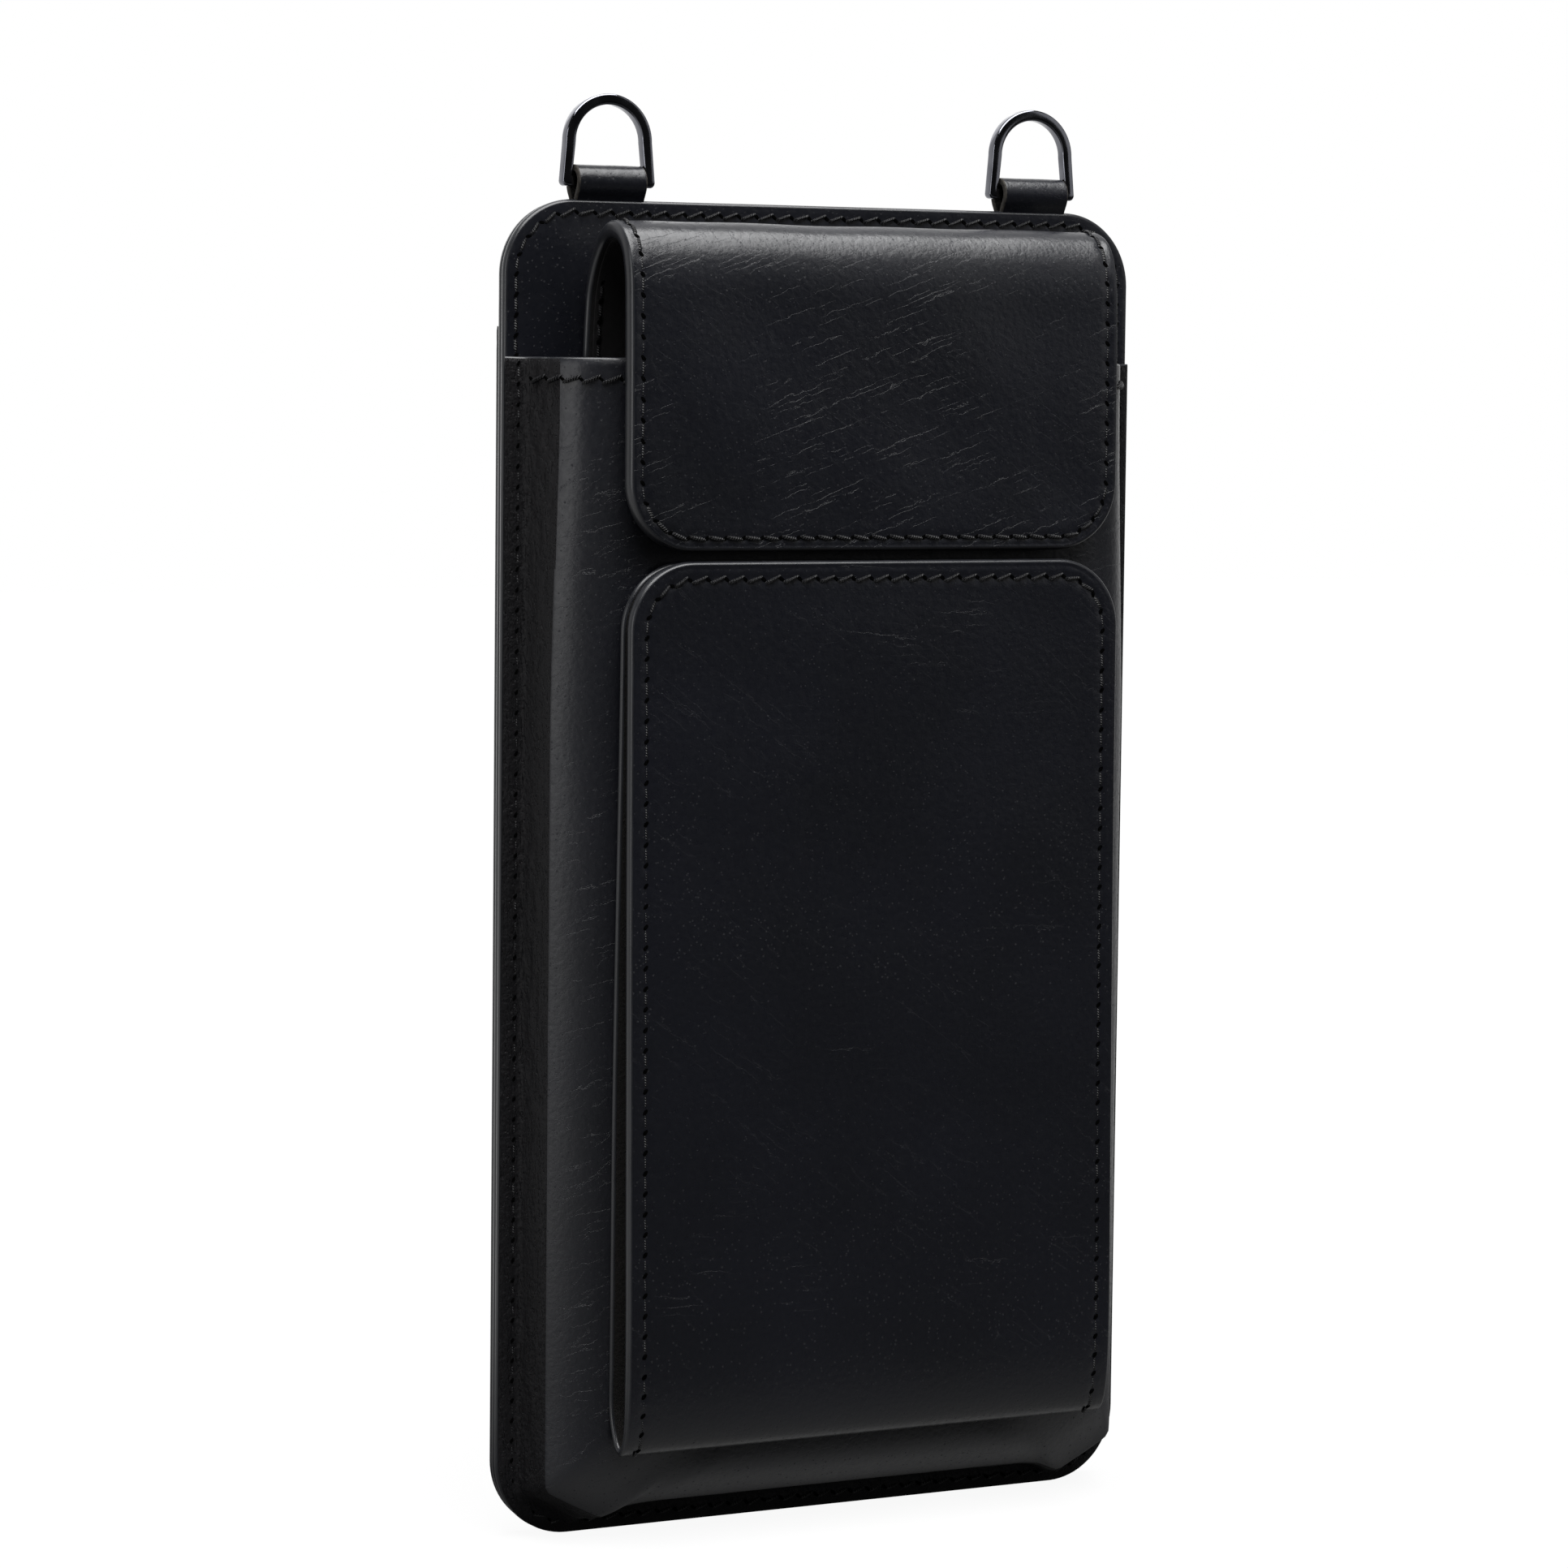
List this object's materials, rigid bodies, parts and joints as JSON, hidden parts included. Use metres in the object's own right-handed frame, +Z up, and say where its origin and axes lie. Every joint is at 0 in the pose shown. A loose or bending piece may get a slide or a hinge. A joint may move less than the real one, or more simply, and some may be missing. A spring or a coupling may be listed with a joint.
{
  "type": "leather phone pouch",
  "caption": "Upright leather phone pouch with a moulded front pocket, a closing flap, a fold-down card wallet, a rear slip pocket and strap rings.",
  "frame": {"origin": "midway between the bars of the two strap rings, where a strap holds the pouch", "axes": "+X to the pouch's right seen from the front, +Y to its back, +Z up"},
  "size_m": [0.1046, 0.0224, 0.2103],
  "materials": {
    "leather": "smooth black leather with a soft gloss and painted edges",
    "lining": "matte black lining leather",
    "hardware": "polished black nickel",
    "steel": "plain plated discs, hidden",
    "thread": "waxed black sewing thread"
  },
  "bodies": {
    "pouch": {"back_lining": "leather", "back_panel": "leather", "rear_pocket": "leather", "pocket_shell": "leather", "pocket_facing": "lining", "upper_keeper": "steel", "lower_keeper": "steel", "left_ring_tab": "leather", "right_ring_tab": "leather", "upper_flap_tail": "leather", "wallet_rear_leaf": "leather", "card_pocket": "lining"},
    "upper_crown": {"upper_crown": "leather", "upper_crown_lining": "lining"},
    "upper_flap": {"upper_flap": "leather", "upper_flap_lining": "lining", "upper_magnet": "steel"},
    "lower_flap": {"lower_flap": "leather", "lower_flap_lining": "lining", "lower_magnet": "steel"},
    "left_ring": {"left_d_ring": "hardware"},
    "right_ring": {"right_d_ring": "hardware"}
  },
  "joints": [
    {"name": "upper_flap_open", "type": "hinge", "parent": "pouch", "child": "upper_crown", "pos_m": [0, -0.0049, -0.00897], "axis": [-1, 0, 0], "range_deg": [0, 85]},
    {"name": "upper_front_corner", "type": "hinge", "parent": "upper_crown", "child": "upper_flap", "pos_m": [0, -0.016, -0.00847], "axis": [-1, 0, 0], "range_deg": [0, 85]},
    {"name": "lower_flap_open", "type": "hinge", "parent": "pouch", "child": "lower_flap", "pos_m": [0, -0.01735, -0.18347], "axis": [1, 0, 0], "range_deg": [0, 175]},
    {"name": "left_ring_swing", "type": "hinge", "parent": "pouch", "child": "left_ring", "pos_m": [-0.03545, 0, 0], "axis": [-1, 0, 0], "range_deg": [0, 110]},
    {"name": "right_ring_swing", "type": "hinge", "parent": "pouch", "child": "right_ring", "pos_m": [0.03545, 0, 0], "axis": [-1, 0, 0], "range_deg": [0, 110]}
  ],
  "couplings": [
    {"joint": "upper_front_corner", "follows": "upper_flap_open", "ratio": 1}
  ]
}
